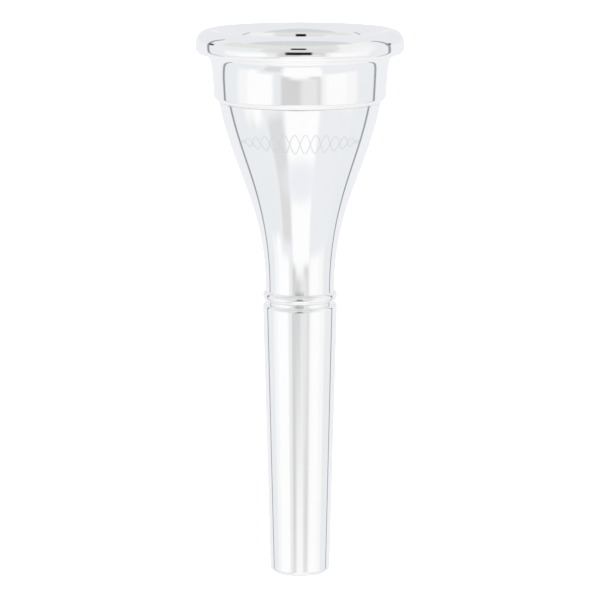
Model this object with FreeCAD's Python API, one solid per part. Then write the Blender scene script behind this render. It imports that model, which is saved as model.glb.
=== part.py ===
import FreeCAD, Part
import math
import os

# French horn mouthpiece with a screw-on rim.
#
# Frame: origin at the centre of the shank's small end, +Z along the axis towards the rim.
# Lengths are in millimetres, angles in degrees. Every outline is drawn as (radius, height)
# in the XZ plane and turned about Z, as the brass is turned on a lathe.

# Shank, which goes into the horn, and the bore inside it.
SHANK_LENGTH = 33.6         # small end to the top of the straight taper
SHANK_END_D = 7.47
SHANK_TAPER = 0.052         # growth in diameter per unit of length
SHANK_EDGE = 0.45           # rounding of the small end's outer edge
BACKBORE_END_D = 6.1
THROAT_D = 4.7
THROAT_LENGTH = 4.0
THROAT_DROP = 3.2           # lower end of the throat, below the funnel's neck

# Twin turned rings between the shank and the funnel.
SHOULDER_HEIGHT = 0.5       # lower ring: the shank's rounded top edge
GROOVE_WIDTH = 0.3
GROOVE_DEPTH = 0.42         # below the shank's widest radius
RING_WIDTH = 1.3            # upper ring
NECK_DEPTH = 0.35           # funnel's neck, below the shank's widest radius

# Funnel outside, from the neck up to the seam under the rim.
FUNNEL_LENGTH = 23.3
FUNNEL_NECK_REACH = 10.6    # how far the curve follows the neck's direction
FUNNEL_TOP_REACH = 9.0      # how far it follows the seam's direction
FUNNEL_TOP_ANGLE = 11.2     # the wall's lean from the axis at the seam

# Cup inside, from the throat up to the rim's inner seam.
CUP_THROAT_REACH = 8.0
CUP_TOP_REACH = 12.0

# Rim: the part that the lips touch, from the bite outwards.
BITE_D = 17.5
BITE_DEPTH = 1.38           # crest down to the bite
CREST_INSET = 2.4           # bite out to the crest
CREST_OUTSET = 1.55         # crest out to the edge
ROLL_TOP = 1.45             # crest down to the edge band
EDGE_BAND = 0.8             # upright band round the rim's edge
EDGE_BULGE_R = 4.0          # radius of that band, seen from the side
ROLL_UNDER = 0.85           # edge band down to the underside
ROLL_TUCK = 1.3             # edge in to where the underside levels out
RIM_HEIGHT = 8.78           # seam up to the crest
COVE_HEIGHT = 2.3           # hollow curve from the skirt's wall out to the underside

# Skirt: the band of the rim that holds the thread.
SKIRT_WALL = 0.835          # outside the thread, at the skirt's lower edge
SKIRT_LEAN = 3.45
SKIRT_CHAMFER = 0.57

# Spigot on the cup, and the pocket round its nose.
CUP_STEP = 0.3              # bite radius less the cup's radius at the inner seam
NOSE_WALL = 0.55
NOSE_HEIGHT = 1.6
NOSE_CHAMFER = 0.15
UNDERCUT_HEIGHT = 0.8       # clear of thread, above the seam
UNDERCUT_DEPTH = 0.14       # nose and undercut, below the thread's root
SEAT_GAP = 0.05             # the rim seats on the outer seam, so the inner one stays open

# Thread: right-hand, 60 degree metric form.
THREAD_PITCH = 0.75
THREAD_LENGTH = 2.95
THREAD_BEVEL = 0.3          # height of the bevel at each end of the spigot's thread
THREAD_CLEARANCE = 0.05     # square to the flanks, and at the crest
MOUTH_CHAMFER = 0.03        # past the groove's floor, at the skirt's mouth
CUTTER_OVERRUN = 0.04       # how far a thread cutter reaches past the metal that it cuts

# Rim seal: a thin O-ring round the spigot's nose.
ORING_SPACE = 0.9           # radial room between the nose and the pocket's wall
ORING_CLEARANCE = 0.03      # each side of the fitted ring

# Heights.
neck_z = SHANK_LENGTH + SHOULDER_HEIGHT + GROOVE_WIDTH + RING_WIDTH
seam_z = neck_z + FUNNEL_LENGTH
thread_low_z = seam_z + UNDERCUT_HEIGHT
thread_high_z = thread_low_z + THREAD_LENGTH
nose_z = thread_high_z + NOSE_HEIGHT
seat_z = nose_z + SEAT_GAP
crest_z = seam_z + RIM_HEIGHT
band_high_z = crest_z - ROLL_TOP
band_low_z = band_high_z - EDGE_BAND
under_z = band_low_z - ROLL_UNDER
bite_z = crest_z - BITE_DEPTH
throat_low_z = neck_z - THROAT_DROP
throat_high_z = throat_low_z + THROAT_LENGTH

# Radii, from the bite outwards.
bite_r = BITE_D / 2
cup_r = bite_r - CUP_STEP
nose_r = cup_r + NOSE_WALL
root_r = nose_r + UNDERCUT_DEPTH
thread_r = root_r + 0.6134 * THREAD_PITCH
minor_r = thread_r - 0.5413 * THREAD_PITCH
mouth_r = thread_r + THREAD_CLEARANCE + MOUTH_CHAMFER
skirt_r = thread_r + THREAD_CLEARANCE + SKIRT_WALL
seam_r = skirt_r - SKIRT_CHAMFER
skirt_low_z = seam_z + SKIRT_CHAMFER
cove_z = under_z - COVE_HEIGHT
cove_r = skirt_r + (cove_z - skirt_low_z) * math.tan(math.radians(SKIRT_LEAN))
crest_r = bite_r + CREST_INSET
edge_r = crest_r + CREST_OUTSET
bulge = math.asin(EDGE_BAND / 2 / EDGE_BULGE_R)
band_r = edge_r - EDGE_BULGE_R * (1 - math.cos(bulge))
tuck_r = edge_r - ROLL_TUCK
pocket_r = nose_r + ORING_SPACE
pocket_low_z = thread_high_z + THREAD_PITCH / 2
shank_r = (SHANK_END_D + SHANK_TAPER * SHANK_LENGTH) / 2
groove_r = shank_r - GROOVE_DEPTH
neck_r = shank_r - NECK_DEPTH
throat_r = THROAT_D / 2

QUARTER = 0.5523            # pole spacing that makes a curve a quarter round


def point(radius, height):
    return FreeCAD.Vector(radius, 0, height)


def line(start, end):
    return Part.LineSegment(point(*start), point(*end)).toShape()


def arc(start, middle, end):
    return Part.Arc(point(*start), point(*middle), point(*end)).toShape()


def curve(*poles):
    """A smooth curve from the first pole to the last, led by the poles between."""
    bezier = Part.BezierCurve()
    bezier.setPoles([point(*pole) for pole in poles])
    return bezier.toShape()


def quarter(start, corner, end):
    """A quarter round from start to end, tangent to both lines that meet at corner."""
    leads = [(tip[0] + QUARTER * (corner[0] - tip[0]), tip[1] + QUARTER * (corner[1] - tip[1]))
             for tip in (start, end)]
    return curve(start, leads[0], leads[1], end)


def chain(*points):
    """Straight edges from point to point."""
    return [line(start, end) for start, end in zip(points, points[1:])]


def turned(edges):
    """The solid that the closed outline sweeps in one turn about Z."""
    face = Part.Face(Part.Wire(edges))
    solid = face.revolve(FreeCAD.Vector(0, 0, 0), FreeCAD.Vector(0, 0, 1), 360)
    return solid if solid.Volume > 0 else solid.reversed()


def ridge_half(radius):
    """Half the width of the nominal thread ridge at a radius."""
    return THREAD_PITCH / 16 + (thread_r - radius) * math.tan(math.radians(30))


def helical_cutter(low_z, high_z, inner, outer):
    """A right-hand helical bar from low_z to high_z; inner and outer are (radius, half width)."""
    corners = [(inner[0], low_z - inner[1]), (outer[0], low_z - outer[1]),
               (outer[0], low_z + outer[1]), (inner[0], low_z + inner[1])]
    profile = Part.Wire(chain(*corners, corners[0]))
    helix = Part.makeHelix(THREAD_PITCH, high_z - low_z, thread_r)
    helix.translate(FreeCAD.Vector(0, 0, low_z))
    return Part.Wire(helix.Edges).makePipeShell([profile], True, True)


def make_spigot_thread():
    """The spigot's external thread, a ring that reaches into the nose so that the two fuse."""
    core_r = nose_r - UNDERCUT_DEPTH
    past_r = thread_r + CUTTER_OVERRUN
    outline = [(core_r, thread_low_z), (nose_r, thread_low_z),
               (thread_r, thread_low_z + THREAD_BEVEL), (thread_r, thread_high_z - THREAD_BEVEL),
               (nose_r, thread_high_z), (core_r, thread_high_z)]
    groove = helical_cutter(thread_low_z - THREAD_PITCH / 2, thread_high_z + THREAD_PITCH / 2,
                            (root_r, THREAD_PITCH / 2 - ridge_half(root_r)),
                            (past_r, THREAD_PITCH / 2 - ridge_half(past_r)))
    return turned(chain(*outline, outline[0])).cut(groove)


def make_cup_and_shank():
    """Underpart: shank, twin rings, funnel, threaded spigot, cup, throat and backbore."""
    end_r = SHANK_END_D / 2
    eased_r = end_r + SHANK_TAPER / 2 * SHANK_EDGE
    backbore_r = BACKBORE_END_D / 2
    shoulder_z = SHANK_LENGTH + SHOULDER_HEIGHT
    ring_z = shoulder_z + GROOVE_WIDTH
    top_lean = math.radians(FUNNEL_TOP_ANGLE)
    cup_lean = math.atan2(CUP_STEP, bite_z - nose_z)
    outline = [
        line((backbore_r, 0), (end_r - SHANK_EDGE, 0)),
        quarter((end_r - SHANK_EDGE, 0), (end_r, 0), (eased_r, SHANK_EDGE)),
        line((eased_r, SHANK_EDGE), (shank_r, SHANK_LENGTH)),
        quarter((shank_r, SHANK_LENGTH), (shank_r, shoulder_z), (groove_r, shoulder_z)),
        line((groove_r, shoulder_z), (groove_r, ring_z)),
        arc((groove_r, ring_z), (shank_r, (ring_z + neck_z) / 2), (neck_r, neck_z)),
        curve((neck_r, neck_z), (neck_r, neck_z + FUNNEL_NECK_REACH),
              (seam_r - FUNNEL_TOP_REACH * math.sin(top_lean),
               seam_z - FUNNEL_TOP_REACH * math.cos(top_lean)), (seam_r, seam_z)),
        *chain((seam_r, seam_z), (nose_r, seam_z), (nose_r, nose_z - NOSE_CHAMFER),
               (nose_r - NOSE_CHAMFER, nose_z), (cup_r, nose_z)),
        curve((cup_r, nose_z), (cup_r - CUP_TOP_REACH * math.sin(cup_lean),
                                nose_z - CUP_TOP_REACH * math.cos(cup_lean)),
              (throat_r, throat_high_z + CUP_THROAT_REACH), (throat_r, throat_high_z)),
        *chain((throat_r, throat_high_z), (throat_r, throat_low_z), (backbore_r, 0)),
    ]
    return turned(outline).fuse(make_spigot_thread()).Solids[0]


def make_screw_rim():
    """Rim: rolled rim with the bite, and the skirt with the thread inside it."""
    seat_r = bite_r - CUP_STEP * (bite_z - seat_z) / (bite_z - nose_z)
    lean = CUP_STEP / (bite_z - nose_z)
    outline = [
        *chain((mouth_r, seam_z), (seam_r, seam_z), (skirt_r, skirt_low_z), (cove_r, cove_z)),
        quarter((cove_r, cove_z), (cove_r + COVE_HEIGHT * math.tan(math.radians(SKIRT_LEAN)), under_z),
                (tuck_r, under_z)),
        quarter((tuck_r, under_z), (band_r - ROLL_UNDER * math.tan(bulge), under_z),
                (band_r, band_low_z)),
        arc((band_r, band_low_z), (edge_r, (band_low_z + band_high_z) / 2), (band_r, band_high_z)),
        quarter((band_r, band_high_z), (band_r - ROLL_TOP * math.tan(bulge), crest_z),
                (crest_r, crest_z)),
        quarter((crest_r, crest_z), (bite_r + lean * BITE_DEPTH, crest_z), (bite_r, bite_z)),
        *chain((bite_r, bite_z), (seat_r, seat_z), (pocket_r, seat_z), (pocket_r, pocket_low_z),
               (minor_r, pocket_low_z), (minor_r, seam_z + mouth_r - minor_r), (mouth_r, seam_z)),
    ]
    inside_r = minor_r - CUTTER_OVERRUN
    crest = thread_r + THREAD_CLEARANCE
    side = THREAD_CLEARANCE / math.cos(math.radians(30))
    groove = helical_cutter(thread_low_z - 3 * THREAD_PITCH, pocket_low_z + THREAD_PITCH,
                            (inside_r, ridge_half(inside_r) + side), (crest, ridge_half(crest) + side))
    return turned(outline).cut(groove).Solids[0]


def make_rim_o_ring():
    """Seal: a ring of round section in the pocket over the thread."""
    section = ORING_SPACE / 2 - ORING_CLEARANCE
    centre = FreeCAD.Vector(0, 0, seat_z - ORING_CLEARANCE - section)
    return Part.makeTorus(nose_r + ORING_SPACE / 2, section, centre)


os.makedirs("parts", exist_ok=True)
pieces = {
    "cup_and_shank": make_cup_and_shank(),
    "screw_rim": make_screw_rim(),
    "rim_o_ring": make_rim_o_ring(),
}
for name, shape in pieces.items():
    shape.exportStep(f"parts/{name}.step")
    print(name, shape.ShapeType, len(shape.Solids), shape.isValid(), round(shape.Volume, 2))
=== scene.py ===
import bpy
import math
import numpy as np
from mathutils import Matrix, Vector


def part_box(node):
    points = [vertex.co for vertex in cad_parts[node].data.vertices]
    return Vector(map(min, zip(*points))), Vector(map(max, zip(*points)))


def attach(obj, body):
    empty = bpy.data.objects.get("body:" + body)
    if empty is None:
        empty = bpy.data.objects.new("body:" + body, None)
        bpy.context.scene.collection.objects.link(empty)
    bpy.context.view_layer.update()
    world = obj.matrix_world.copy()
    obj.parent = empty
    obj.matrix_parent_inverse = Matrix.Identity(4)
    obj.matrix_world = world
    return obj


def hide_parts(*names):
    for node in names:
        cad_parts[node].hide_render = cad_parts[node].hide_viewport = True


# French horn mouthpiece with a screw-on rim, in silver plate on brass.
# The metal pieces are turned shapes, so each is drawn as an outline of (radius, height) runs
# and swept round Z into a fine mesh whose normals come from the outline itself: a mirror
# finish shows every facet of a coarse one. Lengths here are in millimetres until to_metres.

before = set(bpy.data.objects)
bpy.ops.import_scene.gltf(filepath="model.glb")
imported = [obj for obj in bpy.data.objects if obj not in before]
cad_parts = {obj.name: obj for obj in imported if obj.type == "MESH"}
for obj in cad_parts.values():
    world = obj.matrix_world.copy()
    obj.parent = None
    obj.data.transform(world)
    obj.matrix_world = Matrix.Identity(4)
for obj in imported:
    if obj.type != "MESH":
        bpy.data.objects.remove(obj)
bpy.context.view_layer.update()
MM = 0.001
cup_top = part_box("cup_and_shank")[1] / MM
rim_low, rim_high = (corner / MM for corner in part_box("screw_rim"))
ring_low, ring_high = (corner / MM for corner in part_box("rim_o_ring"))

# Shank and bore.
SHANK_LENGTH = 33.6
SHANK_END_R = 3.735
SHANK_TOP_R = 4.6086
SHANK_EDGE = 0.45
BACKBORE_END_R = 3.05
THROAT_R = 2.35
THROAT_LOW = 32.5
THROAT_HIGH = 36.5

# Twin rings and the funnel above them.
SHOULDER_HEIGHT = 0.5
GROOVE_WIDTH = 0.3
GROOVE_R = 4.1886
RING_WIDTH = 1.3
NECK_R = 4.2586
FUNNEL_NECK_REACH = 10.6
FUNNEL_TOP_REACH = 9.0
FUNNEL_TOP_ANGLE = math.radians(11.2)
CUP_THROAT_REACH = 8.0
CUP_TOP_REACH = 12.0

# Spigot.
CUP_R = 8.45
NOSE_R = 9.0
NOSE_CHAMFER = 0.15
ROOT_R = 9.14
SEAM_R = 9.915

# Rim and skirt.
BITE_R = 8.75
BITE_DEPTH = 1.38
CREST_R = 11.15
ROLL_TOP = 1.45
EDGE_BAND = 0.8
EDGE_BULGE_R = 4.0
ROLL_UNDER = 0.85
ROLL_TUCK = 1.3
SKIRT_R = 10.485
SKIRT_LEAN = math.radians(3.45)
SKIRT_CHAMFER = 0.57
COVE_HEIGHT = 2.3
POCKET_R = 9.9
CORNER_EASE = 0.1           # how far each side of an outside corner its small round reaches

# Thread.
PITCH = 0.75
THREAD_R = 9.6001
THREAD_LOW = 59.8
THREAD_LENGTH = 2.95
THREAD_BEVEL = 0.3
THREAD_CLEARANCE = 0.05
MINOR_R = 9.1941
MOUTH_R = 9.6801

# Engraving round the front of the funnel: two crossing strands.
BRAID_MIDDLE = 54.8
BRAID_SWING = 1.15
BRAID_REACH = math.radians(52)
BRAID_WAVES = 6.5
STRAND_WIDTH = 0.14
STRAND_LIFT = 0.006
STRAND_DEPTH = 0.03

FINE = 0.036                # ring spacing where a surface is threaded
METAL_COLUMNS = 288         # faces round the metal pieces
SEAL_COLUMNS = 192
QUARTER = 0.5523            # pole spacing that makes a curve a quarter round

# Camera, in metres, and the studio's light.
CAMERA_DISTANCE = 0.300
CAMERA_HEIGHT = 0.0916
CAMERA_PITCH = math.radians(79.2)
CAMERA_LENS = 148.2
PLAIN_LIGHT = 2.0           # what the camera and the matt surfaces see
MIRRORED_LIGHT = 1.05       # what the silver mirrors
STAND_SLANT = 0.19          # how far the right stand leans, degrees along per degree up
FLOOR_REACH = 4.0

seam_z = rim_low.z
crest_z = rim_high.z
edge_r = rim_high.x
nose_z = cup_top.z
neck_z = SHANK_LENGTH + SHOULDER_HEIGHT + GROOVE_WIDTH + RING_WIDTH
thread_high = THREAD_LOW + THREAD_LENGTH
pocket_low = thread_high + PITCH / 2
seat_z = ring_high.z + 0.03
bite_z = crest_z - BITE_DEPTH


# Outline runs: each is an array of (radius, height) points along one smooth stretch.

def line(start, end, count=2):
    """A straight stretch of count points."""
    return np.linspace(start, end, count)


def curve(*poles, count=24):
    """A cubic Bezier stretch."""
    t = np.linspace(0, 1, count)[:, None]
    a, b, c, d = (np.array(pole, float) for pole in poles)
    return a * (1 - t) ** 3 + 3 * b * t * (1 - t) ** 2 + 3 * c * t ** 2 * (1 - t) + d * t ** 3


def quarter(start, corner, end, count=16):
    """A quarter round tangent to both lines that meet at corner."""
    start, corner, end = (np.array(p, float) for p in (start, corner, end))
    return curve(start, start + QUARTER * (corner - start), end + QUARTER * (corner - end), end,
                 count=count)


def arc(start, middle, end, count=24):
    """A circular arc through three points."""
    (ax, ay), (bx, by), (cx, cy) = start, middle, end
    d = 2 * (ax * (by - cy) + bx * (cy - ay) + cx * (ay - by))
    ux = ((ax ** 2 + ay ** 2) * (by - cy) + (bx ** 2 + by ** 2) * (cy - ay)
          + (cx ** 2 + cy ** 2) * (ay - by)) / d
    uy = ((ax ** 2 + ay ** 2) * (cx - bx) + (bx ** 2 + by ** 2) * (ax - cx)
          + (cx ** 2 + cy ** 2) * (bx - ax)) / d
    first, last = math.atan2(ay - uy, ax - ux), math.atan2(cy - uy, cx - ux)
    radius = math.hypot(ax - ux, ay - uy)
    angle = np.linspace(first, last, count)
    return np.stack([ux + radius * np.cos(angle), uy + radius * np.sin(angle)], 1)


def steps(start, end, size=FINE):
    """A straight stretch cut into rings about size apart."""
    length = math.dist(start, end)
    return line(start, end, max(2, math.ceil(length / size) + 1))


def toward(start, end, reach):
    """The point that far from start on the way to end."""
    start, end = np.array(start, float), np.array(end, float)
    return start + (end - start) * reach / np.linalg.norm(end - start)


def eased(before, corner, after, reach=CORNER_EASE):
    """The small round that takes the sharpness off an outside corner."""
    return quarter(toward(corner, before, reach), corner, toward(corner, after, reach), 6)


def ridge_distance(angle, height):
    """How far along the axis a point is from the middle of the nearest thread ridge."""
    phase = (height - THREAD_LOW - PITCH * angle / (2 * math.pi)) % PITCH
    return np.minimum(phase, PITCH - phase)


def spigot_radius(angle, radius, height):
    """External thread, bevelled at both ends."""
    flank = THREAD_R - (ridge_distance(angle, height) - PITCH / 16) / math.tan(math.radians(30))
    thread = np.clip(flank, ROOT_R, THREAD_R)
    rise = np.minimum(height - THREAD_LOW, thread_high - height) / THREAD_BEVEL
    return np.minimum(thread, NOSE_R + rise * (THREAD_R - NOSE_R))


def skirt_bore_radius(angle, radius, height):
    """Internal thread, with a chamfered mouth."""
    side = PITCH / 16 + THREAD_CLEARANCE / math.cos(math.radians(30))
    flank = THREAD_R - (ridge_distance(angle, height) - side) / math.tan(math.radians(30))
    groove = np.clip(flank, MINOR_R, THREAD_R + THREAD_CLEARANCE)
    return np.maximum(groove, MOUTH_R - (height - seam_z))


def swept(name, runs, columns, changes=()):
    """A closed outline swept round Z, as a mesh with the outline's own normals. changes maps
    a run's place in the list to a function that gives its radius at each angle and height."""
    changes = dict(changes)
    angle = np.arange(columns) * 2 * math.pi / columns
    grids = []
    for place, run in enumerate(runs):
        radius = np.repeat(run[:, :1], columns, 1)
        height = np.repeat(run[:, 1:], columns, 1)
        if place in changes:
            radius = changes[place](angle[None, :], radius, height)
        if grids:
            radius[0] = np.hypot(grids[-1][-1, :, 0], grids[-1][-1, :, 1])
        if place + 1 in changes:
            joint = changes[place + 1](angle[None, :], radius[-1:], height[-1:])
            radius[-1] = joint[0]
        grids.append(np.stack([radius * np.cos(angle), radius * np.sin(angle), height], 2))
    normals = [run_normals(grid) for grid in grids]
    rings = sum(len(grid) - 1 for grid in grids)
    points = np.concatenate([grid[:-1] for grid in grids]).reshape(-1, 3)
    low_normals = np.concatenate([normal[:-1] for normal in normals])
    high_normals = np.concatenate([normal[1:] for normal in normals])
    row = np.arange(rings)[:, None]
    column = np.arange(columns)[None, :]
    row_next, column_next = (row + 1) % rings, (column + 1) % columns
    faces = np.stack([row * columns + column, row * columns + column_next,
                      row_next * columns + column_next, row_next * columns + column], 2)
    corner_normals = np.stack([low_normals, np.roll(low_normals, -1, 1),
                               np.roll(high_normals, -1, 1), high_normals], 2)
    mesh = bpy.data.meshes.new(name)
    mesh.from_pydata((points * MM).tolist(), [], faces.reshape(-1, 4).tolist())
    mesh.shade_smooth()
    mesh.normals_split_custom_set(corner_normals.reshape(-1, 3).tolist())
    piece = bpy.data.objects.new(name, mesh)
    bpy.context.scene.collection.objects.link(piece)
    return piece


def run_normals(grid):
    """Outward normals of one run's grid of points."""
    along = np.gradient(grid, axis=0, edge_order=2 if len(grid) > 2 else 1)
    around = np.roll(grid, -1, 1) - np.roll(grid, 1, 1)
    normal = np.cross(around, along)
    return normal / np.maximum(np.linalg.norm(normal, axis=2, keepdims=True), 1e-12)


def funnel_run():
    """The funnel's outside, from the neck over the rings to the seam."""
    lead_r = SEAM_R - FUNNEL_TOP_REACH * math.sin(FUNNEL_TOP_ANGLE)
    lead_z = seam_z - FUNNEL_TOP_REACH * math.cos(FUNNEL_TOP_ANGLE)
    return curve((NECK_R, neck_z), (NECK_R, neck_z + FUNNEL_NECK_REACH), (lead_r, lead_z),
                 (SEAM_R, seam_z), count=90)


def make_cup_and_shank():
    """Underpart: shank, twin rings, funnel, threaded spigot, cup, throat and backbore."""
    shoulder_z = SHANK_LENGTH + SHOULDER_HEIGHT
    ring_z = shoulder_z + GROOVE_WIDTH
    edge_top_r = SHANK_END_R + (SHANK_TOP_R - SHANK_END_R) * SHANK_EDGE / SHANK_LENGTH
    cup_lean = math.atan2(BITE_R - CUP_R, bite_z - nose_z)
    funnel = funnel_run()
    seam = (SEAM_R, seam_z)
    runs = [
        line((BACKBORE_END_R, 0), (SHANK_END_R - SHANK_EDGE, 0)),
        quarter((SHANK_END_R - SHANK_EDGE, 0), (SHANK_END_R, 0), (edge_top_r, SHANK_EDGE)),
        line((edge_top_r, SHANK_EDGE), (SHANK_TOP_R, SHANK_LENGTH), 24),
        quarter((SHANK_TOP_R, SHANK_LENGTH), (SHANK_TOP_R, shoulder_z), (GROOVE_R, shoulder_z)),
        line((GROOVE_R, shoulder_z), (GROOVE_R, ring_z)),
        arc((GROOVE_R, ring_z), (SHANK_TOP_R, (ring_z + neck_z) / 2), (NECK_R, neck_z)),
        np.concatenate([funnel[:-1], [toward(seam, funnel[-2], CORNER_EASE)]]),
        eased(funnel[-2], seam, (NOSE_R, seam_z)),
        line(toward(seam, (NOSE_R, seam_z), CORNER_EASE), (NOSE_R, seam_z)),
        line((NOSE_R, seam_z), (NOSE_R, THREAD_LOW)),
        steps((NOSE_R, THREAD_LOW), (NOSE_R, thread_high)),
        line((NOSE_R, thread_high), (NOSE_R, nose_z - NOSE_CHAMFER)),
        line((NOSE_R, nose_z - NOSE_CHAMFER), (NOSE_R - NOSE_CHAMFER, nose_z)),
        line((NOSE_R - NOSE_CHAMFER, nose_z), (CUP_R, nose_z)),
        curve((CUP_R, nose_z), (CUP_R - CUP_TOP_REACH * math.sin(cup_lean),
                                nose_z - CUP_TOP_REACH * math.cos(cup_lean)),
              (THROAT_R, THROAT_HIGH + CUP_THROAT_REACH), (THROAT_R, THROAT_HIGH), count=60),
        line((THROAT_R, THROAT_HIGH), (THROAT_R, THROAT_LOW)),
        line((THROAT_R, THROAT_LOW), (BACKBORE_END_R, 0), 12),
    ]
    return swept("turned_cup_and_shank", runs, METAL_COLUMNS, {10: spigot_radius})


def make_rim():
    """Rim: rolled rim with the bite, and the skirt with the thread inside it."""
    band_high = crest_z - ROLL_TOP
    band_low = band_high - EDGE_BAND
    bulge = math.asin(EDGE_BAND / 2 / EDGE_BULGE_R)
    band_r = edge_r - EDGE_BULGE_R * (1 - math.cos(bulge))
    under_z = band_low - ROLL_UNDER
    tuck_r = edge_r - ROLL_TUCK
    mouth = (MOUTH_R, seam_z)
    seam = (SEAM_R, seam_z)
    skirt = (SKIRT_R, seam_z + SKIRT_CHAMFER)
    cove_z = under_z - COVE_HEIGHT
    cove = (SKIRT_R + (cove_z - skirt[1]) * math.tan(SKIRT_LEAN), cove_z)
    lean = (BITE_R - CUP_R) / (bite_z - nose_z)
    seat_r = BITE_R - lean * (bite_z - seat_z)
    runs = [
        line(mouth, toward(seam, mouth, CORNER_EASE)),
        eased(mouth, seam, skirt),
        line(toward(seam, skirt, CORNER_EASE), toward(skirt, seam, CORNER_EASE)),
        eased(seam, skirt, cove),
        line(toward(skirt, cove, CORNER_EASE), cove, 8),
        quarter(cove, (cove[0] + COVE_HEIGHT * math.tan(SKIRT_LEAN), under_z), (tuck_r, under_z), 24),
        quarter((tuck_r, under_z), (band_r - ROLL_UNDER * math.tan(bulge), under_z),
                (band_r, band_low), 24),
        arc((band_r, band_low), (edge_r, (band_low + band_high) / 2), (band_r, band_high), 10),
        quarter((band_r, band_high), (band_r - ROLL_TOP * math.tan(bulge), crest_z),
                (CREST_R, crest_z), 36),
        quarter((CREST_R, crest_z), (BITE_R + lean * BITE_DEPTH, crest_z), (BITE_R, bite_z), 28),
        line((BITE_R, bite_z), (seat_r, seat_z), 6),
        line((seat_r, seat_z), (POCKET_R, seat_z)),
        line((POCKET_R, seat_z), (POCKET_R, pocket_low), 3),
        line((POCKET_R, pocket_low), (MINOR_R, pocket_low)),
        steps((MINOR_R, pocket_low), (MINOR_R, seam_z)),
    ]
    return swept("turned_screw_rim", runs, METAL_COLUMNS, {14: skirt_bore_radius})


def make_o_ring():
    """Seal: a ring of round section."""
    section = (ring_high.z - ring_low.z) / 2
    middle_r = ring_high.x - section
    turn = np.linspace(-math.pi, math.pi, 33)
    run = np.stack([middle_r + section * np.cos(turn), ring_low.z + section + section * np.sin(turn)], 1)
    return swept("moulded_o_ring", [run], SEAL_COLUMNS)


def strand(side):
    """One strand of the braid, as a closed thin bar let into the funnel: side is 1 or -1."""
    funnel = funnel_run()
    share = np.linspace(-1, 1, 460)
    swing = side * BRAID_SWING * np.cos(share * math.pi / 2) ** 0.6
    height = BRAID_MIDDLE + swing * np.sin(share * math.pi * BRAID_WAVES)
    radius = np.interp(height, funnel[:, 1], funnel[:, 0])
    angle = share * BRAID_REACH - math.pi / 2
    spine = np.stack([radius * np.cos(angle), radius * np.sin(angle), height], 1)
    slope = np.interp(height, funnel[:, 1], np.gradient(funnel[:, 0], funnel[:, 1]))
    out = np.stack([np.cos(angle), np.sin(angle), -slope], 1)
    out /= np.linalg.norm(out, axis=1, keepdims=True)
    across = np.cross(out, np.gradient(spine, axis=0))
    across *= STRAND_WIDTH / 2 / np.linalg.norm(across, axis=1, keepdims=True)
    top, bottom = out * STRAND_LIFT, out * -STRAND_DEPTH
    rows = np.stack([spine + across + top, spine - across + top,
                     spine - across + bottom, spine + across + bottom], 1)
    first = np.arange(len(share) - 1)[:, None] * 4 + np.arange(4)
    second = np.roll(first, -1, 1)
    last = (len(share) - 1) * 4
    faces = np.stack([first, second, second + 4, first + 4], 2).reshape(-1, 4).tolist()
    return rows.reshape(-1, 3) * MM, faces + [[3, 2, 1, 0], [last, last + 1, last + 2, last + 3]]


def make_braid():
    """Engraved band: two strands that cross in waves and run out at both ends."""
    points, faces = [], []
    for side in (1, -1):
        rows, quads = strand(side)
        faces += [[corner + len(points) for corner in quad] for quad in quads]
        points += rows.tolist()
    mesh = bpy.data.meshes.new("engraved_braid")
    mesh.from_pydata(points, [], faces)
    piece = bpy.data.objects.new("engraved_braid", mesh)
    bpy.context.scene.collection.objects.link(piece)
    return piece


# Materials.

def nodes_of(material):
    """A material's node tree and its shader."""
    material.use_nodes = True
    return material.node_tree, material.node_tree.nodes["Principled BSDF"]


def add(tree, kind, **inputs):
    """A node with values or links set on its inputs."""
    node = tree.nodes.new(kind)
    for name, value in inputs.items():
        socket = node.inputs[name.replace("_", " ")]
        if isinstance(value, bpy.types.NodeSocket):
            tree.links.new(value, socket)
        else:
            socket.default_value = value
    return node


def silver(name):
    """Mirror-polished silver plate, with buffing lines round it and a little haze."""
    material = bpy.data.materials.new(name)
    tree, shader = nodes_of(material)
    shader.inputs["Metallic"].default_value = 1
    place = add(tree, "ShaderNodeTexCoord").outputs["Object"]
    haze = add(tree, "ShaderNodeTexNoise", Vector=place, Scale=180, Detail=4)
    rings = add(tree, "ShaderNodeMapping", Vector=place, Scale=(40, 40, 9000))
    lines = add(tree, "ShaderNodeTexNoise", Vector=rings.outputs["Vector"], Scale=1, Detail=3)
    tint = add(tree, "ShaderNodeMapRange", Value=haze.outputs["Fac"], From_Min=0.3, From_Max=0.7)
    colour = add(tree, "ShaderNodeMix")
    colour.data_type = "RGBA"
    colour.inputs["A"].default_value = (0.955, 0.955, 0.96, 1)
    colour.inputs["B"].default_value = (0.975, 0.975, 0.975, 1)
    tree.links.new(tint.outputs["Result"], colour.inputs["Factor"])
    tree.links.new(colour.outputs["Result"], shader.inputs["Base Color"])
    gloss = add(tree, "ShaderNodeMapRange", Value=haze.outputs["Fac"], From_Min=0.3, From_Max=0.7,
                To_Min=0.035, To_Max=0.075)
    tree.links.new(gloss.outputs["Result"], shader.inputs["Roughness"])
    bump = add(tree, "ShaderNodeBump", Height=lines.outputs["Fac"], Strength=0.05, Distance=0.00001)
    tree.links.new(bump.outputs["Normal"], shader.inputs["Normal"])
    return material


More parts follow.
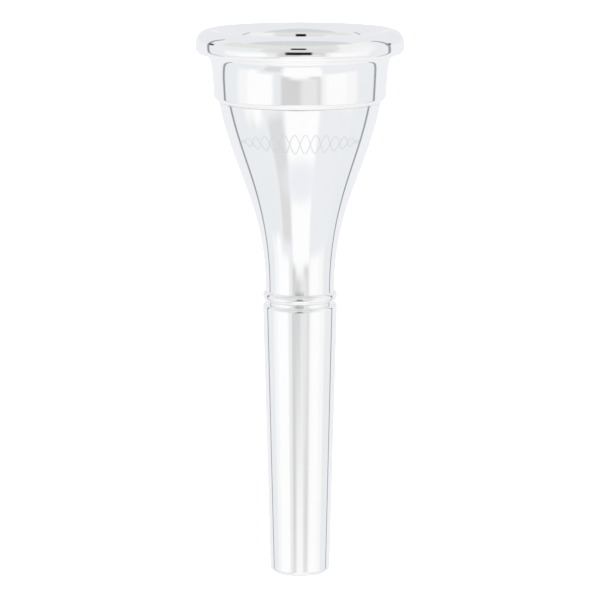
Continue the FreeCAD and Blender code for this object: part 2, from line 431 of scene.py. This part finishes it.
def frosted_silver():
    """Silver where a tool has cut it: greyer, and too rough to mirror."""
    material = bpy.data.materials.new("silver_plate_cup_engraved")
    tree, shader = nodes_of(material)
    shader.inputs["Metallic"].default_value = 1
    place = add(tree, "ShaderNodeTexCoord").outputs["Object"]
    grain = add(tree, "ShaderNodeTexNoise", Vector=place, Scale=4000, Detail=2)
    colour = add(tree, "ShaderNodeValToRGB", Fac=grain.outputs["Fac"])
    colour.color_ramp.elements[0].color = (0.78, 0.79, 0.81, 1)
    colour.color_ramp.elements[1].color = (0.93, 0.94, 0.95, 1)
    tree.links.new(colour.outputs["Color"], shader.inputs["Base Color"])
    shader.inputs["Roughness"].default_value = 0.32
    return material


def rubber():
    """Matte black nitrile, with a fine moulded grain."""
    material = bpy.data.materials.new("nitrile_rubber")
    tree, shader = nodes_of(material)
    place = add(tree, "ShaderNodeTexCoord").outputs["Object"]
    grain = add(tree, "ShaderNodeTexNoise", Vector=place, Scale=9000, Detail=3)
    colour = add(tree, "ShaderNodeValToRGB", Fac=grain.outputs["Fac"])
    colour.color_ramp.elements[0].color = (0.016, 0.016, 0.017, 1)
    colour.color_ramp.elements[1].color = (0.045, 0.045, 0.047, 1)
    tree.links.new(colour.outputs["Color"], shader.inputs["Base Color"])
    shader.inputs["Roughness"].default_value = 0.62
    bump = add(tree, "ShaderNodeBump", Height=grain.outputs["Fac"], Strength=0.3, Distance=0.00002)
    tree.links.new(bump.outputs["Normal"], shader.inputs["Normal"])
    return material


# Studio: a pale room with two softboxes, which the silver mirrors.

def linear(level):
    """Scene light that the screen shows as this level out of 255, for one channel or three."""
    shares = [min(part, 255) / 255 for part in (level if isinstance(level, tuple) else (level,) * 3)]
    return [share / 12.92 if share <= 0.04045 else ((share + 0.055) / 1.055) ** 2.4
            for share in shares] + [1]


def ramp(tree, factor, low, high, stops):
    """Colour by position: stops are (position, level), in order from low to high."""
    spread = add(tree, "ShaderNodeMapRange", Value=factor, From_Min=low, From_Max=high)
    node = add(tree, "ShaderNodeValToRGB", Fac=spread.outputs["Result"])
    elements = node.color_ramp.elements
    while len(elements) < len(stops):
        elements.new(0.5)
    for element, (position, level) in zip(elements, stops):
        element.position = (position - low) / (high - low)
        element.color = linear(level)
    return node.outputs["Color"]


def between(tree, factor, low, high, first, second):
    """first where factor is under low, second where it is over high."""
    share = add(tree, "ShaderNodeMapRange", Value=factor, From_Min=low, From_Max=high)
    mix = tree.nodes.new("ShaderNodeMix")
    mix.data_type = "RGBA"
    tree.links.new(share.outputs["Result"], mix.inputs["Factor"])
    for socket, colour in ((mix.inputs["A"], first), (mix.inputs["B"], second)):
        if isinstance(colour, bpy.types.NodeSocket):
            tree.links.new(colour, socket)
        else:
            socket.default_value = linear(colour)
    return mix.outputs["Result"]


def arithmetic(tree, operation, first, second=0.0):
    """The result of one sum on values or sockets."""
    node = tree.nodes.new("ShaderNodeMath")
    node.operation = operation
    for socket, value in zip(node.inputs, (first, second)):
        if isinstance(value, bpy.types.NodeSocket):
            tree.links.new(value, socket)
        else:
            socket.default_value = value
    return node.outputs["Value"]


LAVENDER = (237, 238, 242)
BACK_WALL = (231, 232, 236)


def window(tree, factor, low, high, soft):
    """1 where factor lies from low to high, fading to 0 over soft on both sides."""
    rise = add(tree, "ShaderNodeMapRange", Value=factor, From_Min=low - soft, From_Max=low + soft)
    fall = add(tree, "ShaderNodeMapRange", Value=factor, From_Min=high + soft, From_Max=high - soft)
    rise.interpolation_type = fall.interpolation_type = "SMOOTHSTEP"
    return arithmetic(tree, "MULTIPLY", rise.outputs["Result"], fall.outputs["Result"])


def card(tree, way, below, azimuth, elevation, soft, level):
    """A soft-edged rectangle of one level, hung in front of what is below it."""
    share = arithmetic(tree, "MULTIPLY", window(tree, way[0], *azimuth, soft),
                       window(tree, way[1], *elevation, min(soft, 3)))
    mix = tree.nodes.new("ShaderNodeMix")
    mix.data_type = "RGBA"
    tree.links.new(share, mix.inputs["Factor"])
    tree.links.new(below, mix.inputs["A"])
    mix.inputs["B"].default_value = linear(level)
    return mix.outputs["Result"]


# What hangs in the studio, from the back to the front: azimuth from the camera's side, elevation,
# softness of the edges (all in degrees) and level. The panels are infinitely far away.
CARDS = [
    ((-119, 115), (-46.5, 45), 3, (232, 235, 237)),         # side walls
    ((-75, 75), (42, 95), 6, (210, 213, 214)),              # ceiling over the camera
    ((-96, 46), (14, 42), 5, (224, 225, 222)),              # front wall
    ((46, 92), (8, 42), 5, (238, 239, 238)),
    ((-42, 40), (-4, 14), 5, 220),
    ((46, 90), (-4, 10), 6, 242),
    ((-90, -38), (-27, -3), 5, 245),                        # left softbox
    ((-74, -37), (-30, -9), 4, 252),
    ((31, 82), (-30, -3), 5, 246),                          # right softbox
    ((36, 64), (-30, -9), 4, 251),
    ((-25, 27), (-24, -3), 3, 211),                         # gap between the softboxes
    ((1, 24), (-18, -9), 5, 229),
    ((-13, 12), (-26, -16.5), 6, 246),
    ((-60, 90), (-47, -24), 6, (234, 236, 239)),            # floor
    ((-52, -27), (-52, -30), 4, 219),
    ((-23, 30), (-47, -21), 4, 252),
    ((-60, 60), (-60, -47.5), 3, (232, 235, 241)),
    ((-60, 60), (-95, -60), 4, 252),
    ((-122.5, -117.5), (-40, 40), 1, 150),                  # left stand
    ((-16, 13), (-10.5, -1), 1.8, 24),                      # camera
    ((-10, 7), (8, 21), 1.5, 30),                           # dark panel over it
    ((-120, -110), (5, 13), 2, 70),                         # small dark panels beside the stands
    ((110, 120), (5, 13), 2, 70),
]


def studio():
    """World light by direction: azimuth from the front of the studio, and elevation."""
    world = bpy.data.worlds.new("studio")
    bpy.context.scene.world = world
    world.use_nodes = True
    tree = world.node_tree
    background = tree.nodes["Background"]
    direction = add(tree, "ShaderNodeTexCoord").outputs["Generated"]
    parts = add(tree, "ShaderNodeSeparateXYZ", Vector=direction).outputs
    azimuth = arithmetic(tree, "ARCTAN2", parts["X"], arithmetic(tree, "MULTIPLY", parts["Y"], -1.0))
    azimuth = arithmetic(tree, "DEGREES", azimuth)
    elevation = arithmetic(tree, "DEGREES", arithmetic(tree, "ARCSINE", parts["Z"]))
    way = (azimuth, elevation)
    room = ramp(tree, elevation, -90, 90, [
        (-90, 251), (-60, 242), (-28, LAVENDER), (0, LAVENDER), (8, BACK_WALL), (90, BACK_WALL)])
    for reach, height, soft, level in CARDS:
        room = card(tree, way, room, reach, height, soft, level)
    slant = arithmetic(tree, "ADD", azimuth, arithmetic(tree, "MULTIPLY", elevation, STAND_SLANT))
    room = card(tree, (slant, elevation), room, (112.5, 117.5), (-40, 40), 1, 150)     # right stand
    glossy = add(tree, "ShaderNodeLightPath").outputs["Is Glossy Ray"]
    shown = between(tree, glossy, 0, 1, 255, room)
    tree.links.new(shown, background.inputs["Color"])
    dimming = arithmetic(tree, "MULTIPLY", glossy, PLAIN_LIGHT - MIRRORED_LIGHT)
    strength = arithmetic(tree, "SUBTRACT", PLAIN_LIGHT, dimming)
    tree.links.new(strength, background.inputs["Strength"])


def make_floor():
    """A pale floor that the silver doesn't mirror: the cards under the horizon stand for it."""
    mesh = bpy.data.meshes.new("floor")
    far = FLOOR_REACH
    corners = [(-far, -far, 0), (far, -far, 0), (far, far, 0), (-far, far, 0)]
    mesh.from_pydata(corners, [], [(0, 1, 2, 3)])
    floor = bpy.data.objects.new("floor", mesh)
    bpy.context.scene.collection.objects.link(floor)
    material = bpy.data.materials.new("pale_floor")
    tree, shader = nodes_of(material)
    shader.inputs["Base Color"].default_value = (0.94, 0.94, 0.94, 1)
    shader.inputs["Roughness"].default_value = 1
    shader.inputs["Specular IOR Level"].default_value = 0
    mesh.materials.append(material)
    floor.visible_glossy = False


def make_camera():
    """Camera in front of the part, looking a little down."""
    camera = bpy.data.cameras.new("camera")
    camera.lens = CAMERA_LENS
    camera_object = bpy.data.objects.new("camera", camera)
    camera_object.location = (0, -CAMERA_DISTANCE, CAMERA_HEIGHT)
    camera_object.rotation_euler = (CAMERA_PITCH, 0, 0)
    bpy.context.scene.collection.objects.link(camera_object)
    bpy.context.scene.camera = camera_object


def fit(piece, node, body, material):
    """The finished piece stands for its CAD node and moves with its body."""
    dress(piece, body, material)
    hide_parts(node)


def dress(piece, body, material):
    """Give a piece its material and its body."""
    piece.data.materials.append(material)
    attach(piece, body)


make_camera()
studio()
make_floor()
bpy.context.scene.view_settings.view_transform = "Standard"
fit(make_cup_and_shank(), "cup_and_shank", "underpart", silver("silver_plate_cup"))
dress(make_braid(), "underpart", frosted_silver())
fit(make_rim(), "screw_rim", "rim", silver("silver_plate_rim"))
fit(make_o_ring(), "rim_o_ring", "seal", rubber())
